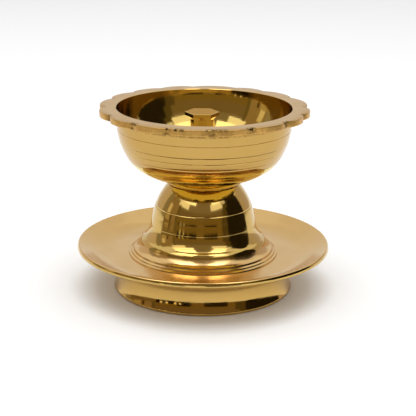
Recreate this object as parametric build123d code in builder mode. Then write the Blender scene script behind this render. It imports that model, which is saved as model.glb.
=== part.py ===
from build123d import *
import os

# A turned brass butter lamp: a scalloped oil bowl held on a domed tray stand by a hex-headed wick post.
# Sizes are in millimetres, +Z is up and the origin is the middle of the ring foot, on the floor.
# Profiles are drawn as (radius, height) and turned about Z, the way the real pieces are turned on a lathe.

os.makedirs("parts", exist_ok=True)

# Ring foot
foot_radius = 25.5  # at its waist
foot_flare = 1.25  # how far the foot spreads towards the floor
foot_wall = 0.9
foot_hollow = 0.33  # depth of the foot's concave outside
foot_cove_width = 1.9  # cove from the waist out to the tray's underside
foot_cove_height = 3.1
sole_round = 0.8  # rounded outer edge of the sole

# Drip tray
tray_radius = 37.5
tray_height = 10.7  # floor to the lowest part of the tray
tray_rise = 3.4  # lowest part of the tray to its lip
tray_thickness = 1.0
tray_flat_width = 5.2  # level part of the tray round the mouldings
lip_thickness = 1.25
lip_band_width = 3.3  # steeper band just inside the lip
lip_band_rise = 1.7

# Mouldings between tray and dome, from the tray upwards
ring_step = 0.25  # fine raised edge where the mouldings leave the tray
skirt_width = 2.35  # sloping skirt above the tray
skirt_height = 1.8
skirt_curve_width = 1.35  # where the skirt curves up to the edge bead
skirt_curve_height = 1.95
edge_bead_width = 1.0
edge_bead_height = 1.2
edge_bead_bulge = 0.3
flare_width = 2.0  # hollow flare from the edge bead up to the dome
flare_height = 4.3
flare_hollow = 0.33

# Dome
dome_radius = 15.6  # at its base, where it runs into the flare
dome_height = 11.8
dome_bulge = 1.0  # how far the side stands out from a straight cone
dome_wall = 1.2
crown_radius = 10.5  # flat on top that carries the bowl
crown_thickness = 3.4

# Scalloped rim
rim_radius = 30.75  # to the tips of the scallops
rim_overhang = 5.1  # tips beyond the belly
rim_width = 5.15  # tips to the mouth
rim_thickness = 1.8
rim_cove = 0.6  # how far the belly spreads under the rim
rim_cove_hollow = 0.15
scallop_count = 16
scallop_depth = 1.65  # tips to notches
scallop_turn = 3.6  # angle of the first notch from +X, in degrees

# Oil bowl
bowl_depth = 23.0  # seat on the crown to the top of the rim
shoulder_drop = 4.0  # rim top down to where the belly starts to curve in
flank_inset = 2.95  # belly's side to where the flank turns into the lower curve
flank_height = 9.1  # above the seat
turn_inset = 8.15  # belly's side to where the lower curve flattens
turn_height = 4.25
belly_base_height = 2.05
neck_radius = 10.2
neck_groove = 1.0  # depth of the groove between belly and neck bead
neck_bead_bulge = 0.8
neck_bead_height = 1.6
mouth_taper = 4.0  # lean of the inside at the mouth, in degrees
floor_height = 3.7  # seat up to the floor inside the bowl
floor_inset = 11.9  # mouth to where the inside meets the floor

# Centring spigot under the bowl
spigot_radius = 6.5
spigot_length = 2.0
spigot_clearance = 0.08  # round the spigot, in the crown
spigot_end_gap = 0.25  # under the spigot

# Wick post
stem_radius = 3.55
head_overhang = 0.8  # flats of the hex head beyond the stem
head_height = 1.1
head_cone_height = 0.9  # turned cone under the head
head_drop = 1.5  # rim top down to the top of the head
thread_radius = 2.5
thread_engagement = 5.0  # thread held by the stand
thread_clearance = 0.06
thread_end_gap = 0.6  # boss below the end of the thread
thread_chamfer = 0.4
boss_wall = 2.4

# Heights and radii that follow from the sizes above
ring_top = tray_height + ring_step
skirt_top = ring_top + skirt_height
edge_bead_base = skirt_top + skirt_curve_height
flare_base = edge_bead_base + edge_bead_height
dome_base = flare_base + flare_height
seat_height = dome_base + dome_height
rim_top = seat_height + bowl_depth
bowl_floor = seat_height + floor_height
flare_radius = dome_radius + flare_width
edge_bead_radius = flare_radius + edge_bead_width
skirt_top_radius = edge_bead_radius + skirt_curve_width
ring_radius = skirt_top_radius + skirt_width
foot_base_radius = foot_radius + foot_flare
foot_inside = foot_radius - foot_wall
tray_flat_radius = ring_radius + tray_flat_width
lip_top = tray_height + tray_rise
lip_round = lip_thickness / 2
lip_radius = tray_radius - lip_round
tray_underside = tray_height - tray_thickness
spigot_end = seat_height - spigot_length
recess_depth = spigot_length + spigot_end_gap
thread_end = seat_height - recess_depth - thread_engagement
boss_bottom = thread_end - thread_end_gap
thread_hole_radius = thread_radius + thread_clearance
belly_radius = rim_radius - rim_overhang
mouth_radius = rim_radius - rim_width
notch_radius = rim_radius - scallop_depth
head_radius = stem_radius + head_overhang

# Stand: foot, tray, mouldings and dome, turned from one hollow casting
with BuildPart() as stand:
    with BuildSketch(Plane.XZ):
        with BuildLine():
            sole = Line((0, 0), (foot_base_radius - sole_round, 0))
            sole_edge = RadiusArc(sole @ 1, (foot_base_radius, sole_round), -sole_round)
            waist = (foot_radius, tray_underside - foot_cove_height)
            SagittaArc(sole_edge @ 1, waist, foot_hollow)
            cove = TangentArc(waist, (foot_radius + foot_cove_width, tray_underside), tangent=(0, 1))
            underside = TangentArc(cove @ 1, (lip_radius, lip_top - lip_thickness), tangent=(1, 0))
            lip = ThreePointArc(underside @ 1, (tray_radius, lip_top - lip_round), (lip_radius, lip_top))
            band = Line(lip @ 1, (lip_radius - lip_band_width, lip_top - lip_band_rise))
            dish = TangentArc((tray_flat_radius, tray_height), band @ 1, tangent=(1, 0))
            tray_flat = Line(dish @ 0, (ring_radius, tray_height))
            ring = Line(tray_flat @ 1, (ring_radius, ring_top))
            skirt = Line(ring @ 1, (skirt_top_radius, skirt_top))
            skirt_curve = TangentArc(skirt @ 1, (edge_bead_radius, edge_bead_base), tangent=skirt % 1)
            edge_bead = SagittaArc(skirt_curve @ 1, (flare_radius, flare_base), -edge_bead_bulge)
            flare = SagittaArc(edge_bead @ 1, (dome_radius, dome_base), flare_hollow)
            dome_side = SagittaArc(flare @ 1, (crown_radius, seat_height), -dome_bulge)
            Polyline(dome_side @ 1, (0, seat_height), (0, 0))
        make_face()
    revolve(axis=Axis.Z)
    # The casting is cored out from below, up to the underside of the crown
    with BuildSketch(Plane.XZ):
        with BuildLine():
            core = Polyline(
                (0, 0),
                (foot_inside, 0),
                (foot_inside, tray_underside),
                (skirt_top_radius, tray_underside),
                (dome_radius - dome_wall, dome_base - flare_height / 2),
            )
            core_top = SagittaArc(core @ 1, (crown_radius - dome_wall, seat_height), -dome_bulge)
            Polyline(core_top @ 1, (0, seat_height), (0, 0))
        make_face()
        with Locations((0, seat_height)):
            Rectangle(2 * dome_radius, 2 * crown_thickness, mode=Mode.SUBTRACT)
    revolve(axis=Axis.Z, mode=Mode.SUBTRACT)
    # Boss for the post's thread, and the recess for the bowl's spigot
    with BuildSketch(Plane.XY.offset(boss_bottom)):
        Circle(thread_hole_radius + boss_wall)
    extrude(amount=seat_height - crown_thickness - boss_bottom)
    with Locations((0, 0, seat_height)):
        CounterBoreHole(thread_hole_radius, spigot_radius + spigot_clearance, recess_depth)

stand.part.label = "stand"
export_step(stand.part, "parts/stand.step")

# Oil bowl: a belly of three tangent curves with neck bead and spigot, a scalloped rim and a round hollow
with BuildPart() as oil_bowl:
    with BuildSketch(Plane.XZ):
        with BuildLine():
            flank_top = (belly_radius, rim_top - shoulder_drop)
            flank_end = (belly_radius - flank_inset, seat_height + flank_height)
            flank = TangentArc(flank_top, flank_end, tangent=(0, -1))
            turn_end = (belly_radius - turn_inset, seat_height + turn_height)
            turn = TangentArc(flank @ 1, turn_end, tangent=flank % 1)
            base_end = (neck_radius + neck_groove, seat_height + belly_base_height)
            base = TangentArc(turn @ 1, base_end, tangent=turn % 1)
            bead_top = (neck_radius, seat_height + neck_bead_height)
            bead_middle = (neck_radius + neck_bead_bulge, seat_height + neck_bead_height / 2)
            Line(base @ 1, bead_top)
            neck_bead = ThreePointArc(bead_top, bead_middle, (neck_radius, seat_height))
            Polyline(
                neck_bead @ 1,
                (spigot_radius, seat_height),
                (spigot_radius, spigot_end),
                (0, spigot_end),
                (0, rim_top),
                (belly_radius + rim_cove, rim_top),
                (belly_radius + rim_cove, rim_top - rim_thickness),
            )
            SagittaArc((belly_radius + rim_cove, rim_top - rim_thickness), flank @ 0, -rim_cove_hollow)
        make_face()
    revolve(axis=Axis.Z)
    with BuildSketch(Plane.XY.offset(rim_top)):
        with BuildLine():
            for lobe in range(scallop_count):
                pitch = 360 / scallop_count
                start = scallop_turn + lobe * pitch
                ThreePointArc(
                    Vector(notch_radius, 0).rotate(Axis.Z, start),
                    Vector(rim_radius, 0).rotate(Axis.Z, start + pitch / 2),
                    Vector(notch_radius, 0).rotate(Axis.Z, start + pitch),
                )
        make_face()
    extrude(amount=-rim_thickness)
    with BuildSketch(Plane.XZ):
        with BuildLine():
            mouth_edge = (mouth_radius, rim_top)
            floor_edge = (mouth_radius - floor_inset, bowl_floor)
            mouth_lean = Vector(0, -1).rotate(Axis.Z, -mouth_taper)
            hollow_side = TangentArc(mouth_edge, floor_edge, tangent=mouth_lean)
            Polyline(hollow_side @ 1, (0, bowl_floor), (0, rim_top), hollow_side @ 0)
        make_face()
    revolve(axis=Axis.Z, mode=Mode.SUBTRACT)
    with Locations((0, 0, bowl_floor)):
        Hole(thread_hole_radius)

oil_bowl.part.label = "oil_bowl"
export_step(oil_bowl.part, "parts/oil_bowl.step")

# Wick post: turned from hex bar, it clamps the bowl down with its shoulder on the bowl's floor
with BuildPart() as wick_post:
    head_top = rim_top - head_drop
    cone_top = head_top - head_height
    with BuildSketch(Plane.XZ):
        with BuildLine():
            Polyline(
                (0, thread_end),
                (thread_radius - thread_chamfer, thread_end),
                (thread_radius, thread_end + thread_chamfer),
                (thread_radius, bowl_floor),
                (stem_radius, bowl_floor),
                (stem_radius, cone_top - head_cone_height),
                (head_radius, cone_top),
                (0, cone_top),
                close=True,
            )
        make_face()
    revolve(axis=Axis.Z)
    with BuildSketch(Plane.XY.offset(cone_top)):
        RegularPolygon(head_radius, 6, major_radius=False)
    extrude(amount=head_height)

wick_post.part.label = "wick_post"
export_step(wick_post.part, "parts/wick_post.step")

brass_grams_per_mm3 = 0.0085
pieces = (stand, oil_bowl, wick_post)
print("lamp height", round(rim_top, 2), "bowl floor", round(bowl_floor, 3))
print("mass in grams", round(brass_grams_per_mm3 * sum(piece.part.volume for piece in pieces), 1))
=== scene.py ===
import math

import bmesh
import bpy
from mathutils import Matrix, Vector


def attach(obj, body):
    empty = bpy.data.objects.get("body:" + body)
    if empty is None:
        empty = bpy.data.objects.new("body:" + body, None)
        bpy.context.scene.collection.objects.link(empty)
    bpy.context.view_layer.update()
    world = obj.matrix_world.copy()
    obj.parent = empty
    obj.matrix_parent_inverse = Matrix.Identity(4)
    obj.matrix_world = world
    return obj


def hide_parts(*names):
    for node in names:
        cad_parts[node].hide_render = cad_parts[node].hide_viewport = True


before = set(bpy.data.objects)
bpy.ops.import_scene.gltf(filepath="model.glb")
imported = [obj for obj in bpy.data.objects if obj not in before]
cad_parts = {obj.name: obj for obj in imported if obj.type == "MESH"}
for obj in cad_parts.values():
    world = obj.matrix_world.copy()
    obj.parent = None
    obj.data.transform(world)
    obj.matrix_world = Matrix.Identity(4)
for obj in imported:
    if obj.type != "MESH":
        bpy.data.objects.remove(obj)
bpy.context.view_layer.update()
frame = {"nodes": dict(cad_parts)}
print("frame loaded:", ", ".join(frame["nodes"]))

mm = 0.001
up = Vector((0, 0, 1))
outward = Vector((1, 0, 0))
hair = 1e-6  # metres, nearer than this is the same place
cutDist = 1e-7  # metres, how exactly a cutting plane works
mergeDist = 2e-7  # metres
flat = 0.8  # a face lies flat where its normal rises more than this


# sRGB hex to the linear colour that nodes take
def hexColour(code):
    channels = [int(code[i:i + 2], 16) / 255 for i in (1, 3, 5)]
    return [c / 12.92 if c <= 0.04045 else ((c + 0.055) / 1.055) ** 2.4 for c in channels] + [1.0]


def addNode(tree, kind, settings=None, links=None):
    node = tree.nodes.new(kind)
    for name, value in (settings or {}).items():
        if isinstance(name, str) and hasattr(node, name):
            setattr(node, name, value)
        else:
            node.inputs[name].default_value = value
    for name, source in (links or {}).items():
        tree.links.new(source, node.inputs[name])
    return node


def newMaterial(name):
    material = bpy.data.materials.new(name)
    material.use_nodes = True
    material.node_tree.nodes.clear()
    return material


def newObject(bm, name, materials):
    mesh = bpy.data.meshes.new(name)
    bm.to_mesh(mesh)
    bm.free()
    for material in materials:
        mesh.materials.append(material)
    made = bpy.data.objects.new(name, mesh)
    bpy.context.scene.collection.objects.link(made)
    return made


# Brass finishes: cast brass, worked and worn in different ways, with a darker copy that paints shade and a
# brighter copy that paints reflection

# shared by all of them; the noise that makes smears and specks runs from 0 to 1
wear = {
    "lineDetail": 2.0, "lineGrain": 0.6,
    "toneDetail": 3.0,
    "smearDetail": 4.0, "smearTwist": 0.6, "smearFrom": 0.45, "smearTo": 0.7,
    "speckSize": 0.9,  # mm, patches of oxide, and of the painted shade under the rim
    "speckDetail": 3.0, "speckFrom": 0.35, "speckTo": 0.6,
    "oxideDull": 0.4,  # roughness that the oxide and the painted shade under the rim add
}
# polished on the lathe: clear mirror images, with faint lines running round
polishedBrass = {
    "name": "polishedTurnedBrass",
    "colour": "#CEAD65",
    "deepColour": "#C4A258",
    "toneSize": 13.0,  # mm, slow drift of the tone over the casting
    "roughness": 0.09,
    "haze": 0.05,  # roughness added where the buffing left a smear
    "hazeSize": 6.0,  # mm
    "lineSpacing": 0.55,  # mm, real tool lines are finer than the picture can show
    "lineDepth": 0.0014,  # mm
    "oxideAndShade": "#3A2A10",  # left in notches and file marks, and the colour of the painted shade under the rim
    "edge": "#FFFFFF",  # tint of grazing reflections
}
# buffed: a pale, soft sheen in which images blur
buffedBrass = {
    "name": "buffedTrayBrass",
    "colour": "#DAB67B",
    "deepColour": "#D0AA6C",
    "toneSize": 9.0,
    "roughness": 0.16,
    "haze": 0.10,
    "hazeSize": 5.0,
    "lineSpacing": 0.45,
    "lineDepth": 0.0020,
    "oxideAndShade": "#3A2A10",
    "edge": "#FFFFFF",
}
# turned and left satin: an even glow, no images
satinBrass = {
    "name": "satinTurnedBrass",
    "colour": "#CCA76C",
    "deepColour": "#C29A5C",
    "toneSize": 9.0,
    "roughness": 0.28,
    "haze": 0.08,
    "hazeSize": 5.0,
    "lineSpacing": 0.5,
    "lineDepth": 0.0022,
    "oxideAndShade": "#3A2A10",
    "edge": "#FFFFFF",
}
# polished over coarser tool lines: images drawn out along the lines; its deeper tone is painted shade, a
# darker copy of the polished brass where the upper belly and foot mirror the floor
paintedShadeBrass = {
    "name": "warmPaintedShadeBrass",
    "colour": "#C5A05C",
    "deepColour": "#BB9650",
    "toneSize": 11.0,
    "roughness": 0.06,
    "haze": 0.06,
    "hazeSize": 6.0,
    "lineSpacing": 0.5,
    "lineDepth": 0.0035,
    "oxideAndShade": "#3A2A10",
    "edge": "#FFFFFF",
}
# polished, in a brighter and fuller yellow: painted reflection, for the bright light that the lower belly
# mirrors
paintedReflectionBrass = {
    "name": "goldenPaintedReflectionBrass",
    "colour": "#E8CE62",
    "deepColour": "#DCC053",
    "toneSize": 7.0,
    "roughness": 0.06,
    "haze": 0.06,
    "hazeSize": 5.0,
    "lineSpacing": 0.5,
    "lineDepth": 0.0025,
    "oxideAndShade": "#3A2A10",
    "edge": "#FFFFFF",
}
# brushed on the lathe: bright, with rings that break the images up
brushedBrass = {
    "name": "brushedHollowBrass",
    "colour": "#D6B86C",
    "deepColour": "#C9A95B",
    "toneSize": 8.0,
    "roughness": 0.07,
    "haze": 0.05,
    "hazeSize": 5.0,
    "lineSpacing": 0.6,
    "lineDepth": 0.0040,
    "oxideAndShade": "#3A2A10",
    "edge": "#FFFFFF",
}
# machined bar: a soft sheen, redder than the castings
machinedBrass = {
    "name": "machinedHexBrass",
    "colour": "#BE9244",
    "deepColour": "#B08338",
    "toneSize": 3.0,
    "roughness": 0.16,
    "haze": 0.08,
    "hazeSize": 2.0,
    "lineSpacing": 0.4,
    "lineDepth": 0.0020,
    "oxideAndShade": "#3A2A10",
    "edge": "#EAD6B4",
}
# filed by hand: dull and blotched, dark where oxide stays
filedBrass = {
    "name": "filedBrassEdge",
    "colour": "#DCB064",
    "deepColour": "#C2934A",
    "toneSize": 2.2,
    "roughness": 0.26,
    "haze": 0.16,
    "hazeSize": 1.1,
    "lineSpacing": 0.5,
    "lineDepth": 0.003,
    "oxideAndShade": "#2C1E0A",
    "edge": "#FFFFFF",
}


def makeBrass(finish):
    material = newMaterial(finish["name"])
    tree = material.node_tree
    place = addNode(tree, "ShaderNodeTexCoord").outputs["Object"]
    # distance from the turning axis and height, so that lines run round the piece
    level = addNode(tree, "ShaderNodeVectorMath", {"operation": "MULTIPLY", 1: (1, 1, 0)}, {0: place})
    reach = addNode(tree, "ShaderNodeVectorMath", {"operation": "LENGTH"}, {0: level.outputs["Vector"]})
    height = addNode(tree, "ShaderNodeSeparateXYZ", {}, {"Vector": place})
    turned = addNode(tree, "ShaderNodeCombineXYZ", {}, {
        "X": reach.outputs["Value"], "Z": height.outputs["Z"]})
    lines = addNode(tree, "ShaderNodeTexNoise", {
        "Scale": 1 / (finish["lineSpacing"] * mm), "Detail": wear["lineDetail"],
        "Roughness": wear["lineGrain"]}, {"Vector": turned.outputs["Vector"]})
    tone = addNode(tree, "ShaderNodeTexNoise", {
        "Scale": 1 / (finish["toneSize"] * mm), "Detail": wear["toneDetail"]}, {"Vector": place})
    smear = addNode(tree, "ShaderNodeTexNoise", {
        "Scale": 1 / (finish["hazeSize"] * mm), "Detail": wear["smearDetail"],
        "Distortion": wear["smearTwist"]}, {"Vector": place})
    body = addNode(tree, "ShaderNodeMix", {
        "data_type": "RGBA", 6: hexColour(finish["deepColour"]), 7: hexColour(finish["colour"])}, {
        "Factor": tone.outputs["Fac"]})
    # oxide left in notches and file marks, and painted shade in the cove under the rim
    patinaAndShadeMask = addNode(tree, "ShaderNodeAttribute", {"attribute_name": "patinaAndShade"})
    speck = addNode(tree, "ShaderNodeTexNoise", {
        "Scale": 1 / (wear["speckSize"] * mm), "Detail": wear["speckDetail"]}, {"Vector": place})
    patchy = addNode(tree, "ShaderNodeMapRange", {
        "From Min": wear["speckFrom"], "From Max": wear["speckTo"]}, {"Value": speck.outputs["Fac"]})
    oxideAndShade = addNode(tree, "ShaderNodeMath", {"operation": "MULTIPLY"}, {
        0: patinaAndShadeMask.outputs["Fac"], 1: patchy.outputs["Result"]})
    colour = addNode(tree, "ShaderNodeMix", {"data_type": "RGBA", 7: hexColour(finish["oxideAndShade"])}, {
        "Factor": oxideAndShade.outputs["Value"], 6: body.outputs[2]})
    gloss = addNode(tree, "ShaderNodeMapRange", {
        "From Min": wear["smearFrom"], "From Max": wear["smearTo"], "To Min": finish["roughness"],
        "To Max": finish["roughness"] + finish["haze"]}, {"Value": smear.outputs["Fac"]})
    dull = addNode(tree, "ShaderNodeMath", {"operation": "MULTIPLY_ADD", 1: wear["oxideDull"]}, {
        0: oxideAndShade.outputs["Value"], 2: gloss.outputs["Result"]})
    bump = addNode(tree, "ShaderNodeBump", {"Strength": 1.0, "Distance": finish["lineDepth"] * mm}, {
        "Height": lines.outputs["Fac"]})
    surface = addNode(tree, "ShaderNodeBsdfPrincipled", {
        "Metallic": 1.0, "Specular Tint": hexColour(finish["edge"])}, {
        "Base Color": colour.outputs[2], "Roughness": dull.outputs["Value"],
        "Normal": bump.outputs["Normal"]})
    addNode(tree, "ShaderNodeOutputMaterial", {}, {"Surface": surface.outputs["BSDF"]})
    return material


finishes = [makeBrass(finish) for finish in (
    polishedBrass, buffedBrass, satinBrass, paintedShadeBrass,
    paintedReflectionBrass, brushedBrass, machinedBrass, filedBrass)]
polished, buffed, satin, paintedShade, paintedReflection, brushed, machined, filed = range(len(finishes))
print("brass finishes made")


# A lathe: a profile is drawn with a pen as (radius, height) in mm, then spun about Z

def pen(bm, r, z):
    return bm.verts.new((r * mm, 0, z * mm))


def lineTo(bm, tip, r, z):
    new = bmesh.ops.extrude_vert_indiv(bm, verts=[tip])["verts"][0]
    new.co = (r * mm, 0, z * mm)
    return new


# positive bulge stands out to the right of the way the pen goes
def arcTo(bm, tip, r, z, bulge, steps):
    start, end = tip.co.copy(), Vector((r * mm, 0, z * mm))
    chord = end - start
    half, rise = chord.length / 2, bulge * mm
    right = Vector((chord.z, 0, -chord.x)).normalized()
    radius = (half ** 2 + rise ** 2) / (2 * rise)
    centre = (start + end) / 2 + right * (rise - radius)
    sweep = 4 * math.atan(rise / half)
    made = bmesh.ops.spin(bm, geom=[tip], cent=centre, axis=(0, 1, 0), angle=-sweep, steps=steps)
    return [v for v in made["geom_last"] if isinstance(v, bmesh.types.BMVert)][0]


# an arc that leaves along a direction
def tangentTo(bm, tip, r, z, heading, steps):
    chord = Vector((r * mm, 0, z * mm)) - tip.co
    turn = math.atan2(heading.x * chord.z - heading.z * chord.x, heading.dot(chord))
    bulge = chord.length / 2 * math.tan(turn / 2) / mm
    return arcTo(bm, tip, r, z, bulge, steps)


# the bulge that makes an arc a quarter round
def quarterBulge(radius):
    return radius * (1 - math.sqrt(0.5))


# a turned V groove round the outside of the drawn profile
def cutGroove(bm, height, width, depth, innerLimit):
    for offset in (-width / 2, 0, width / 2):
        bmesh.ops.bisect_plane(bm, geom=bm.verts[:] + bm.edges[:], plane_co=(0, 0, (height + offset) * mm),
                               plane_no=up, dist=cutDist)
    for v in bm.verts:
        if abs(v.co.z - height * mm) < hair and v.co.x > innerLimit * mm:
            along = (v.link_edges[0].other_vert(v).co - v.link_edges[1].other_vert(v).co).normalized()
            inward = Vector((-abs(along.z), 0, 0))
            inward.z = abs(along.x) if along.x * along.z > 0 else -abs(along.x)
            v.co += inward * depth * mm


def spinProfile(bm, steps, firstAngle=0.0):
    start = Matrix.Rotation(math.radians(firstAngle), 3, "Z")
    bmesh.ops.rotate(bm, verts=bm.verts[:], cent=(0, 0, 0), matrix=start)
    bmesh.ops.spin(bm, geom=bm.verts[:] + bm.edges[:], cent=(0, 0, 0), axis=up, angle=math.tau,
                   steps=steps, use_merge=True)


# paint gives a face's finish from its radius, height and normal; sharp is in degrees
def finishPiece(bm, name, body, node, paint, sharp):
    bmesh.ops.remove_doubles(bm, verts=bm.verts[:], dist=mergeDist)
    bmesh.ops.recalc_face_normals(bm, faces=bm.faces[:])
    for face in bm.faces:
        face.smooth = True
        middle = face.calc_center_median()
        face.material_index = paint(math.hypot(middle.x, middle.y) / mm, middle.z / mm, face.normal)
    for edge in bm.edges:
        edge.smooth = len(edge.link_faces) == 2 and edge.calc_face_angle() < math.radians(sharp)
    piece = newObject(bm, name, finishes)
    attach(piece, body)
    if node:
        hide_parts(node)
    print(name, "made with", len(piece.data.polygons), "faces")


# Stand

# radii and heights in mm
stand = {
    "soleInside": 24.6, "soleChamfer": 0.3, "soleRound": 0.8, "footBase": 26.75,
    "waist": 25.5, "waistTop": 6.6, "footHollow": 0.33, "coveReach": 27.4, "underside": 9.7,
    # the lip, from its underside out and up to its top
    "lipUnder": (36.9, 12.55), "lip": [(37.44, 12.8), (37.5, 13.15), (37.3, 13.85), (37.0, 14.1)],
    "lipBulge": 0.05,
    "flatReach": 27.5, "flatDrop": 0.25, "bandReach": 33.575, "bandTop": 12.4, "dish": 0.432,
    "ringReach": 22.3, "trayLow": 10.7,
    # the skirt's foot is turned in three fine steps
    "skirtSteps": [(22.15, 11.05), (21.5, 11.3), (21.35, 11.62),
                   (20.85, 11.9), (20.64, 12.4), (19.95, 12.75)],
    "skirtHollow": 0.186, "edgeReach": 18.6, "edgeBase": 14.7, "edgeBulge": 0.12,
    "flareReach": 17.6, "flareBase": 15.9, "flareHollow": 0.33, "domeReach": 15.68, "domeBase": 19.9,
    # the dome's side is turned in three bands: radius, height and bulge of each
    "domeBands": [(15.02, 22.85, 0.023), (14.37, 25.5, 0.039), (10.5, 32.0, 0.342)],
    "recessReach": 6.58, "recessFloor": 29.75, "threadHole": 2.56, "bossReach": 4.96, "bossEnd": 24.15,
    "crownUnder": 28.6, "coreTopReach": 11.37, "coreBulge": 0.541, "coreReach": 14.4, "coreTop": 18.05,
    "domeGrooves": [(25.5, 0.44, 0.07), (19.9, 0.3, 0.03)],  # height, width, depth
    "grooveMargin": 0.3,  # grooves are cut where the radius is over coreReach less this
    # where the finishes change: heights, radii and the least rise of a face's normal
    "trayPaintLow": 10.3, "trayPaintReach": 22.29, "trayPaintTilt": 0.5,
    "skirtPaintLow": 10.6, "skirtPaintReach": 18.75, "footPaintReach": 24.8,
    "steps": 288, "sharp": 32,
}


def makeStand(s):
    bm = bmesh.new()
    # outside, from the sole up over the lip, the tray and the dome to the seat
    first = tip = pen(bm, s["soleInside"], s["soleChamfer"])
    tip = lineTo(bm, tip, s["soleInside"] + s["soleChamfer"], 0)
    tip = lineTo(bm, tip, s["footBase"] - s["soleRound"], 0)
    tip = arcTo(bm, tip, s["footBase"], s["soleRound"], quarterBulge(s["soleRound"]), steps=6)
    tip = arcTo(bm, tip, s["waist"], s["waistTop"], -s["footHollow"], steps=16)
    tip = tangentTo(bm, tip, s["coveReach"], s["underside"], up, steps=10)
    tip = tangentTo(bm, tip, *s["lipUnder"], outward, steps=16)
    for r, z in s["lip"]:
        tip = arcTo(bm, tip, r, z, s["lipBulge"], steps=4)
    tip = lineTo(bm, tip, s["bandReach"], s["bandTop"])
    tip = arcTo(bm, tip, s["flatReach"], s["trayLow"] - s["flatDrop"], -s["dish"], steps=24)
    tip = lineTo(bm, tip, s["ringReach"], s["trayLow"])
    for r, z in s["skirtSteps"]:
        tip = lineTo(bm, tip, r, z)
    tip = arcTo(bm, tip, s["edgeReach"], s["edgeBase"], -s["skirtHollow"], steps=12)
    tip = arcTo(bm, tip, s["flareReach"], s["flareBase"], s["edgeBulge"], steps=10)
    tip = arcTo(bm, tip, s["domeReach"], s["domeBase"], -s["flareHollow"], steps=24)
    for r, z, bulge in s["domeBands"]:
        tip = arcTo(bm, tip, r, z, bulge, steps=18)
    # recess, thread hole and boss, then down the cored inside
    seat = tip.co.z / mm
    tip = lineTo(bm, tip, s["recessReach"], seat)
    tip = lineTo(bm, tip, s["recessReach"], s["recessFloor"])
    tip = lineTo(bm, tip, s["threadHole"], s["recessFloor"])
    tip = lineTo(bm, tip, s["threadHole"], s["bossEnd"])
    tip = lineTo(bm, tip, s["bossReach"], s["bossEnd"])
    tip = lineTo(bm, tip, s["bossReach"], s["crownUnder"])
    tip = lineTo(bm, tip, s["coreTopReach"], s["crownUnder"])
    tip = arcTo(bm, tip, s["coreReach"], s["coreTop"], -s["coreBulge"], steps=14)
    tip = lineTo(bm, tip, s["skirtSteps"][-1][0], s["underside"])
    tip = lineTo(bm, tip, s["soleInside"], s["underside"])
    bm.edges.new((tip, first))
    for height, width, depth in s["domeGrooves"]:
        cutGroove(bm, height, width, depth, s["coreReach"] - s["grooveMargin"])
    spinProfile(bm, s["steps"])

    def paint(r, z, normal):
        onTray = z > s["trayPaintLow"] and r > s["trayPaintReach"] and normal.z > s["trayPaintTilt"]
        onSkirt = s["skirtPaintReach"] < r < s["ringReach"] and s["skirtPaintLow"] < z < s["edgeBase"]
        onFoot = z < s["underside"] and r > s["footPaintReach"]
        # the foot takes the darker copy of the brass: painted shade
        return buffed if onTray or onSkirt else paintedShade if onFoot else polished

    finishPiece(bm, "brassStand", "stand", "stand", paint, s["sharp"])


makeStand(stand)


# Oil bowl

# radii and heights in mm, angles in degrees
bowl = {
    "spigotReach": 6.5, "spigotEnd": 30.0, "seat": 32.0, "postHole": 2.56,
    "neckReach": 10.2, "neckTop": 33.6, "neckEdge": (10.95, 32.95), "neckBulge": 0.06,
    # the belly is turned in bands: radius, height and bulge of each
    "shoulder": (25.65, 51.0),
    "belly": [(24.84, 45.5, 0.16), (24.18, 43.6, 0.026), (23.3, 41.6, 0.028), (17.98, 36.15, 0.588),
              (11.3, 34.0, 0.338)],
    # height, width and depth
    "bellyGrooves": [(49.0, 0.42, 0.085), (45.5, 0.42, 0.075), (43.6, 0.42, 0.075), (41.6, 0.45, 0.07),
                     (40.0, 0.4, 0.07), (38.6, 0.45, 0.07)],
    "grooveReach": 12.0,  # grooves are cut outside this
    "rimTop": 55.0, "rimUnder": 53.2, "rimReach": 30.75, "rimRound": 0.18, "rimParts": 6, "plainReach": 28.4,
    "coveReach": 26.25, "coveHollow": 0.15,
    "mouthReach": 25.6, "mouthLean": 4.0, "mouthRound": 0.12, "floorReach": 13.7, "floor": 35.7,
    "lobes": 16, "firstNotch": 3.6, "stepsPerLobe": 22, "sharp": 32,
    # hand-filed notches: angle from +X, depth
    "notches": [(0.7, 1.5), (27.2, 1.65), (52.2, 1.55), (70.7, 1.5), (97.0, 1.55), (117.2, 1.5), (138.7, 1.6),
                (160.2, 1.55), (183.6, 1.5), (206.1, 1.3), (229.0, 0.95), (250.5, 0.6), (274.0, 0.5),
                (296.0, 0.7), (320.0, 1.2), (341.1, 1.45)],
    "lobeSquareness": 2.5,
    # dark chips along the top of the filed edge, from and to angle
    "chips": [(229.5, 232.5), (249.5, 252.7), (254.3, 259.4), (271.5, 282.5), (293.0, 297.7), (317.0, 321.5)],
    "chipDepth": 0.5, "filedBand": 0.3,
    # how much patina there is: on the filed edge and more in its notches; and how much painted shade lies in
    # the cove under the rim, between its lowest and highest height
    "edgePatina": 0.12, "notchPatina": 0.8, "notchFalloff": 3,
    "coveShade": 0.5, "coveShadeLow": 51.55, "coveShadeHigh": 54.9,
    # where the finishes change
    # the first height here is the top of the painted reflection on the lower belly
    "paintedReflectionTop": 39.9, "paintMargin": 0.05, "paintInset": 0.1,
}


# reach of the scalloped edge at an angle in degrees, and how near that is to a notch
def scallop(angle, b):
    angles = [a for a, depth in b["notches"]]
    after = next((i for i, a in enumerate(angles) if a > angle % 360), 0)
    (start, startDepth), (end, endDepth) = b["notches"][after - 1], b["notches"][after]
    way = ((angle - start) % 360) / ((end - start) % 360) * 2 - 1
    depth = startDepth if way < 0 else endDepth
    near = abs(way) ** b["lobeSquareness"]
    return b["rimReach"] - depth * near, near


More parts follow.
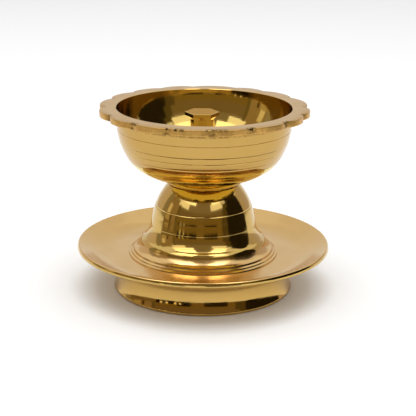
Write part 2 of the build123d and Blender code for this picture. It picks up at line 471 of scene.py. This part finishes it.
def makeBowl(b):
    bm = bmesh.new()
    # outside, from the shoulder down to the spigot and up the hole
    shoulder = tip = pen(bm, *b["shoulder"])
    for r, z, bulge in b["belly"]:
        tip = arcTo(bm, tip, r, z, -bulge, steps=16)
    tip = lineTo(bm, tip, b["neckReach"], b["neckTop"])
    tip = arcTo(bm, tip, *b["neckEdge"], -b["neckBulge"], steps=6)
    tip = arcTo(bm, tip, b["neckReach"], b["seat"], -b["neckBulge"], steps=6)
    tip = lineTo(bm, tip, b["spigotReach"], b["seat"])
    tip = lineTo(bm, tip, b["spigotReach"], b["spigotEnd"])
    tip = lineTo(bm, tip, b["postHole"], b["spigotEnd"])
    holeTop = lineTo(bm, tip, b["postHole"], b["floor"])
    for height, width, depth in b["bellyGrooves"]:
        cutGroove(bm, height, width, depth, b["grooveReach"])
    # rim, from the shoulder out round the flange and in to the mouth
    edge, soft = b["rimReach"], b["rimRound"]
    filedHeight = b["rimTop"] - b["rimUnder"] - 2 * soft
    tip = arcTo(bm, shoulder, b["coveReach"], b["rimUnder"], -b["coveHollow"], steps=6)
    tip = lineTo(bm, tip, b["plainReach"], b["rimUnder"])
    tip = lineTo(bm, tip, edge - soft, b["rimUnder"])
    tip = arcTo(bm, tip, edge, b["rimUnder"] + soft, quarterBulge(soft), steps=3)
    for part in range(1, b["rimParts"] + 1):
        tip = lineTo(bm, tip, edge, b["rimUnder"] + soft + filedHeight * part / b["rimParts"])
    tip = arcTo(bm, tip, edge - soft, b["rimTop"], quarterBulge(soft), steps=3)
    tip = lineTo(bm, tip, b["plainReach"], b["rimTop"])
    tip = lineTo(bm, tip, b["mouthReach"] + b["mouthRound"], b["rimTop"])
    # the hollow, from the mouth down to the floor
    tip = lineTo(bm, tip, b["mouthReach"], b["rimTop"] - b["mouthRound"])
    lean = math.radians(b["mouthLean"])
    inward = Vector((-math.sin(lean), 0, -math.cos(lean)))
    tip = tangentTo(bm, tip, b["floorReach"], b["floor"], inward, steps=48)
    bm.edges.new((tip, holeTop))
    spinProfile(bm, b["lobes"] * b["stepsPerLobe"], b["firstNotch"])
    # painted shade in the cove under the rim, and the flange drawn in to its filed scallops
    patinaAndShade = bm.verts.layers.float.new("patinaAndShade")
    mouth, plain = b["mouthReach"] * mm, b["plainReach"] * mm
    for v in bm.verts:
        reach = math.hypot(v.co.x, v.co.y)
        # the rim shades the cove under it: painted shade, kept in the same layer as the oxide
        if mouth < reach < plain and b["coveShadeLow"] * mm < v.co.z < b["coveShadeHigh"] * mm:
            v[patinaAndShade] = b["coveShade"]
        if reach > plain + hair:
            angle = math.degrees(math.atan2(v.co.y, v.co.x))
            rim, near = scallop(angle, b)
            grown = plain + (reach - plain) * (rim - b["plainReach"]) / (b["rimReach"] - b["plainReach"])
            if reach > (b["rimReach"] - b["filedBand"]) * mm:
                onTop = v.co.z > (b["rimTop"] - b["chipDepth"]) * mm
                chipped = onTop and any(start < angle % 360 < end for start, end in b["chips"])
                v[patinaAndShade] = 1.0 if chipped else b["edgePatina"] + b["notchPatina"] * near ** b["notchFalloff"]
            v.co.x *= grown / reach
            v.co.y *= grown / reach

    def paint(r, z, normal):
        margin, inset = b["paintMargin"], b["paintInset"]
        if z > b["rimTop"] - margin and normal.z > flat:
            return satin
        if r > b["plainReach"] and z > b["rimUnder"] and abs(normal.z) < flat:
            return filed
        if z > b["floor"] - margin and b["postHole"] + inset < r < b["mouthReach"] and normal.z > -margin:
            return brushed
        # the upper belly takes the darker copy of the brass: painted shade
        if z > b["paintedReflectionTop"] and r > b["belly"][3][0]:
            return paintedShade
        # the lower belly takes the brighter, yellower copy of the brass: painted reflection
        return paintedReflection if z > b["neckTop"] and r > b["neckReach"] - inset else polished

    finishPiece(bm, "oilBowl", "bowl", "oil_bowl", paint, b["sharp"])


makeBowl(bowl)


# Wick post

# radii and heights in mm
post = {
    "foot": 35.7, "stemReach": 3.55, "stemParts": 8, "coneBase": 51.5, "coneTop": 52.4,
    "headReach": 4.35, "headTop": 53.5, "headChamfer": 0.12, "headFlats": 6,
    "headGap": 0.001,  # keeps the hex apart from the round cone under it
    "lean": -0.65,  # how far the head stands off the axis in X
    "paintMargin": 0.05, "steps": 96, "sharp": 20,
    "threadReach": 2.5, "threadRoot": 1.95, "threadPitch": 1.0, "threadEnd": 24.75,
    "threadCrest": (0.55, 0.45),  # where the crest starts and ends, in pitches below the top of the turn
    "threadTrim": 0.02, "threadSteps": 32, "threadSharp": 40,
}


def makePost(p):
    bm = bmesh.new()
    tip = pen(bm, 0, p["foot"])
    tip = lineTo(bm, tip, p["stemReach"], p["foot"])
    for part in range(1, p["stemParts"] + 1):
        tip = lineTo(bm, tip, p["stemReach"], p["foot"] + (p["coneBase"] - p["foot"]) * part / p["stemParts"])
    tip = lineTo(bm, tip, p["headReach"], p["coneTop"])
    tip = lineTo(bm, tip, p["headReach"], p["coneTop"] + p["headGap"])
    tip = lineTo(bm, tip, p["headReach"], p["headTop"] - p["headChamfer"])
    tip = lineTo(bm, tip, p["headReach"] - p["headChamfer"], p["headTop"])
    lineTo(bm, tip, 0, p["headTop"])
    spinProfile(bm, p["steps"])
    # the head's rings are drawn out to flats, and then the post leans
    flatAngle = math.tau / p["headFlats"]
    for v in bm.verts:
        if v.co.z > (p["coneTop"] + p["headGap"] / 2) * mm and v.co.xy.length > mm:
            swing = math.atan2(v.co.y, v.co.x) % flatAngle - flatAngle / 2
            v.co.x /= math.cos(swing)
            v.co.y /= math.cos(swing)
    for v in bm.verts:
        v.co.x += p["lean"] * mm * (v.co.z / mm - p["foot"]) / (p["headTop"] - p["foot"])

    def paint(r, z, normal):
        return machined if z > p["headTop"] - p["paintMargin"] and normal.z > flat else polished

    finishPiece(bm, "wickPost", "post", "wick_post", paint, p["sharp"])


# one tooth of the thread, spun up the shank and cut level at both ends
def makeThread(p):
    bm = bmesh.new()
    pitch = p["threadPitch"]
    crestStart, crestEnd = p["threadCrest"]
    tip = pen(bm, p["threadRoot"], p["threadEnd"] - pitch)
    tip = lineTo(bm, tip, p["threadReach"], p["threadEnd"] - crestStart * pitch)
    tip = lineTo(bm, tip, p["threadReach"], p["threadEnd"] - crestEnd * pitch)
    lineTo(bm, tip, p["threadRoot"], p["threadEnd"])
    turns = math.ceil((p["foot"] - p["threadEnd"]) / pitch) + 1
    steps = turns * p["threadSteps"]
    bmesh.ops.spin(bm, geom=bm.verts[:] + bm.edges[:], cent=(0, 0, 0), axis=up, angle=math.tau * turns,
                   steps=steps, dvec=(0, 0, pitch * turns / steps * mm))
    bmesh.ops.remove_doubles(bm, verts=bm.verts[:], dist=2 * hair)
    for height, side in ((p["threadEnd"] + p["threadTrim"], -1), (p["foot"] - p["threadTrim"], 1)):
        cut = bmesh.ops.bisect_plane(bm, geom=bm.verts[:] + bm.edges[:] + bm.faces[:],
                                     plane_co=(0, 0, height * mm), plane_no=up * side,
                                     dist=cutDist, clear_outer=True)
        rim = [e for e in cut["geom_cut"] if isinstance(e, bmesh.types.BMEdge)]
        bmesh.ops.contextual_create(bm, geom=rim)

    def paint(r, z, normal):
        return polished

    finishPiece(bm, "postThread", "post", None, paint, p["threadSharp"])


makePost(post)
makeThread(post)


# Studio: pale floor, white surroundings, and the darker room in front that the polished brass mirrors

# sizes and distances in metres
studio = {
    "floorSize": 3.0,
    "floorColour": "#FCFCFC",
    "floorRoughness": 0.9,
    "skyLevel": 0.68,  # light that the white surroundings give the floor
    "lampSize": 0.9,
    "lampPlace": (0, -0.1, 0.9),
    "lampPower": 5.2,
    "cardReach": {"wall": 1.5, "near": 0.23},  # near cards stand on the floor close by
    "cardStep": {"wall": 0.015, "near": 0.001},  # each card stands this much closer than the one before
    "cardLift": 0.002,
    "cardRows": 12, "cardColumns": 24,
    # name, place, from and to angle off the camera's side, lowest and highest elevation, colour, strength
    "cards": [
        ("backWall", "wall", 146, 214, 0, 50, "#F0EEE8", 1.0),
        ("sideLeft", "wall", -146, -112, 0, 28, "#E1D4CC", 1.0),
        ("sideRight", "wall", 108, 146, 0, 28, "#CEC2BC", 1.0),
        ("wallLeft", "wall", -100, -58, 0.5, 38, "#A69070", 1.0),
        ("cornerLeft", "wall", -112, -99, 0.5, 34, "#A49C8A", 1.0),
        ("wallLow", "wall", -62, 50, 0.5, 14, "#8A7440", 1.0),
        ("wallMiddle", "wall", -62, 52, 14, 30, "#877558", 1.0),
        ("wallHigh", "wall", -62, 56, 30, 60, "#978A77", 1.0),
        ("shadeLow", "wall", 42, 57, 0.5, 18, "#615430", 1.0),
        ("shadeMiddle", "wall", 49, 62, 18, 31, "#615430", 1.0),
        ("shadeHigh", "wall", 53, 68, 31, 38, "#615430", 1.0),
        ("darkLow", "wall", 56, 108, 0.5, 18, "#2A2315", 1.0),
        ("darkMiddle", "wall", 61, 108, 18, 31, "#2A2315", 1.0),
        ("darkHigh", "wall", 67, 106, 31, 43, "#2A2315", 1.0),
        ("wallNear", "near", -98, -60, 0, 6, "#8C7850", 1.0),
        ("darkNear", "near", 56, 106, 0, 6, "#2A2315", 1.0),
        ("softboxLeft", "wall", -71, -40, 33, 43, "#FFFFFF", 1.4),
        ("softboxLeftMiddle", "wall", -72, -22, 42, 52, "#FFFFFF", 2.3),
        ("softboxLeftCore", "wall", -72, -20, 52, 62, "#FFFFFF", 3.2),
        ("softboxLeftTop", "wall", -78, -18, 62, 80, "#FFFFFF", 4.8),
        ("softboxRight", "wall", 20, 54, 34, 44, "#FFFFFF", 1.35),
        ("softboxRightMiddle", "wall", 25, 58, 43, 52, "#FFFFFF", 2.3),
        ("softboxRightCore", "wall", 22, 60, 52, 62, "#FFFFFF", 3.2),
        ("softboxRightTop", "wall", 18, 64, 62, 80, "#FFFFFF", 4.8),
        ("slitLeft", "wall", -95, -86, 13, 26, "#F4EAD2", 1.0),
        ("slitLow", "wall", -96, -84, 0.5, 13, "#C6B48E", 1.0),
        ("darkDot", "wall", -82, -78, 1, 13, "#5A4818", 1.0),
        ("postLeft", "wall", -67, -62, 0.5, 34, "#75683F", 1.0),
        ("rowLeft", "wall", -58, -33, 0.5, 5.4, "#2B2210", 1.0),
        ("rowMiddle", "wall", -30, -14, 0.5, 6.4, "#1F180B", 1.0),
        ("rowRight", "wall", 2, 30, 0.5, 6.6, "#3A2D14", 1.0),
        ("glintLeft", "wall", -52, -50, 3.0, 6.5, "#FFF3D0", 1.4),
        ("glintMiddle", "wall", -43.5, -42, 3.0, 6.5, "#FFF3D0", 1.4),
        ("shelfLeft", "near", -58, -33, 0, 6.0, "#2B2210", 1.0),
        ("shelfMiddle", "near", -30, -14, 0, 9.0, "#1F180B", 1.0),
        ("shelfRight", "near", 2, 30, 0, 9.0, "#3A2D14", 1.0),
        ("lampA", "near", -52, -49.5, 2.5, 6.0, "#FFF3D0", 1.6),
        ("lampB", "near", -44.5, -42, 2.5, 6.2, "#FFF3D0", 1.6),
        ("lampC", "near", -34, -31.5, 2.5, 6.0, "#FFF3D0", 1.5),
        ("lampD", "near", -28, -25.5, 2.5, 6.0, "#FFF3D0", 1.5),
    ],
}


def glowing(name, colour, strength):
    material = newMaterial(name)
    tree = material.node_tree
    light = addNode(tree, "ShaderNodeEmission", {"Color": hexColour(colour), "Strength": strength})
    addNode(tree, "ShaderNodeOutputMaterial", {}, {"Surface": light.outputs["Emission"]})
    return material


def makeFloor(s):
    paper = bpy.data.materials.new("mattPaper")
    paper.use_nodes = True
    shader = paper.node_tree.nodes["Principled BSDF"]
    shader.inputs["Base Color"].default_value = hexColour(s["floorColour"])
    shader.inputs["Roughness"].default_value = s["floorRoughness"]
    shader.inputs["Specular IOR Level"].default_value = 0.0
    bm = bmesh.new()
    bmesh.ops.create_grid(bm, x_segments=1, y_segments=1, size=s["floorSize"])
    newObject(bm, "paleFloor", [paper])


# each card is an arc from its low to its high edge, spun round the object; only the brass sees it
def makeCards(s):
    for number, (name, place, start, end, low, high, colour, strength) in enumerate(s["cards"]):
        reach = s["cardReach"][place] - s["cardStep"][place] * number
        lowEdge = math.radians(low)
        centre = (0, 0, s["cardLift"])
        turn = Matrix.Rotation(math.radians(start), 3, "Z")
        bm = bmesh.new()
        foot = bm.verts.new((0, -reach * math.cos(lowEdge), reach * math.sin(lowEdge) + s["cardLift"]))
        bmesh.ops.spin(bm, geom=[foot], cent=centre, axis=(1, 0, 0), angle=-math.radians(high - low),
                       steps=s["cardRows"])
        bmesh.ops.rotate(bm, verts=bm.verts[:], cent=(0, 0, 0), matrix=turn)
        bmesh.ops.spin(bm, geom=bm.verts[:] + bm.edges[:], cent=(0, 0, 0), axis=up,
                       angle=math.radians(end - start), steps=s["cardColumns"])
        card = newObject(bm, name, [glowing(name, colour, strength)])
        card.visible_camera = card.visible_diffuse = card.visible_shadow = False


def hangLamp(s):
    lamp = bpy.data.lights.new("softLamp", "AREA")
    lamp.size = s["lampSize"]
    lamp.energy = s["lampPower"]
    hung = bpy.data.objects.new("softLamp", lamp)
    hung.location = s["lampPlace"]
    hung.visible_glossy = False
    bpy.context.scene.collection.objects.link(hung)


def lightSurroundings(s):
    world = bpy.data.worlds.new("whiteStudio")
    bpy.context.scene.world = world
    world.use_nodes = True
    tree = world.node_tree
    tree.nodes.clear()
    # white to the eye and in the brass, and a plain level for the light that falls on the floor
    path = addNode(tree, "ShaderNodeLightPath")
    mirrored = addNode(tree, "ShaderNodeMath", {"operation": "MAXIMUM"}, {
        0: path.outputs["Is Glossy Ray"], 1: path.outputs["Is Transmission Ray"]})
    seen = addNode(tree, "ShaderNodeMath", {"operation": "MAXIMUM"}, {
        0: path.outputs["Is Camera Ray"], 1: mirrored.outputs["Value"]})
    level = addNode(tree, "ShaderNodeMapRange", {"To Min": s["skyLevel"], "To Max": 1.0}, {
        "Value": seen.outputs["Value"]})
    sky = addNode(tree, "ShaderNodeBackground", {"Color": (1, 1, 1, 1)}, {
        "Strength": level.outputs["Result"]})
    addNode(tree, "ShaderNodeOutputWorld", {}, {"Surface": sky.outputs["Background"]})


makeFloor(studio)
makeCards(studio)
hangLamp(studio)
lightSurroundings(studio)
print("studio set")


# Camera, solved from the tray and rim ellipses in a 416 pixel frame

camera = {
    "lens": 105.84, "sensor": 36, "clipStart": 0.01,
    "distance": 0.3486, "height": 0.1305,
    "pitch": 16.97, "roll": 0.59, "yaw": -0.225,  # degrees
}


def placeCamera(c):
    lens = bpy.data.cameras.new("camera")
    lens.lens = c["lens"]
    lens.sensor_width = c["sensor"]
    lens.clip_start = c["clipStart"]
    eye = bpy.data.objects.new("camera", lens)
    bpy.context.scene.collection.objects.link(eye)
    aim = Matrix.Rotation(math.radians(c["yaw"]), 4, "Z")
    aim = aim @ Matrix.Rotation(math.radians(90 - c["pitch"]), 4, "X")
    aim = aim @ Matrix.Rotation(math.radians(c["roll"]), 4, "Z")
    eye.matrix_world = Matrix.Translation((0, -c["distance"], c["height"])) @ aim
    bpy.context.scene.camera = eye


placeCamera(camera)
bpy.context.scene.view_settings.view_transform = "Standard"
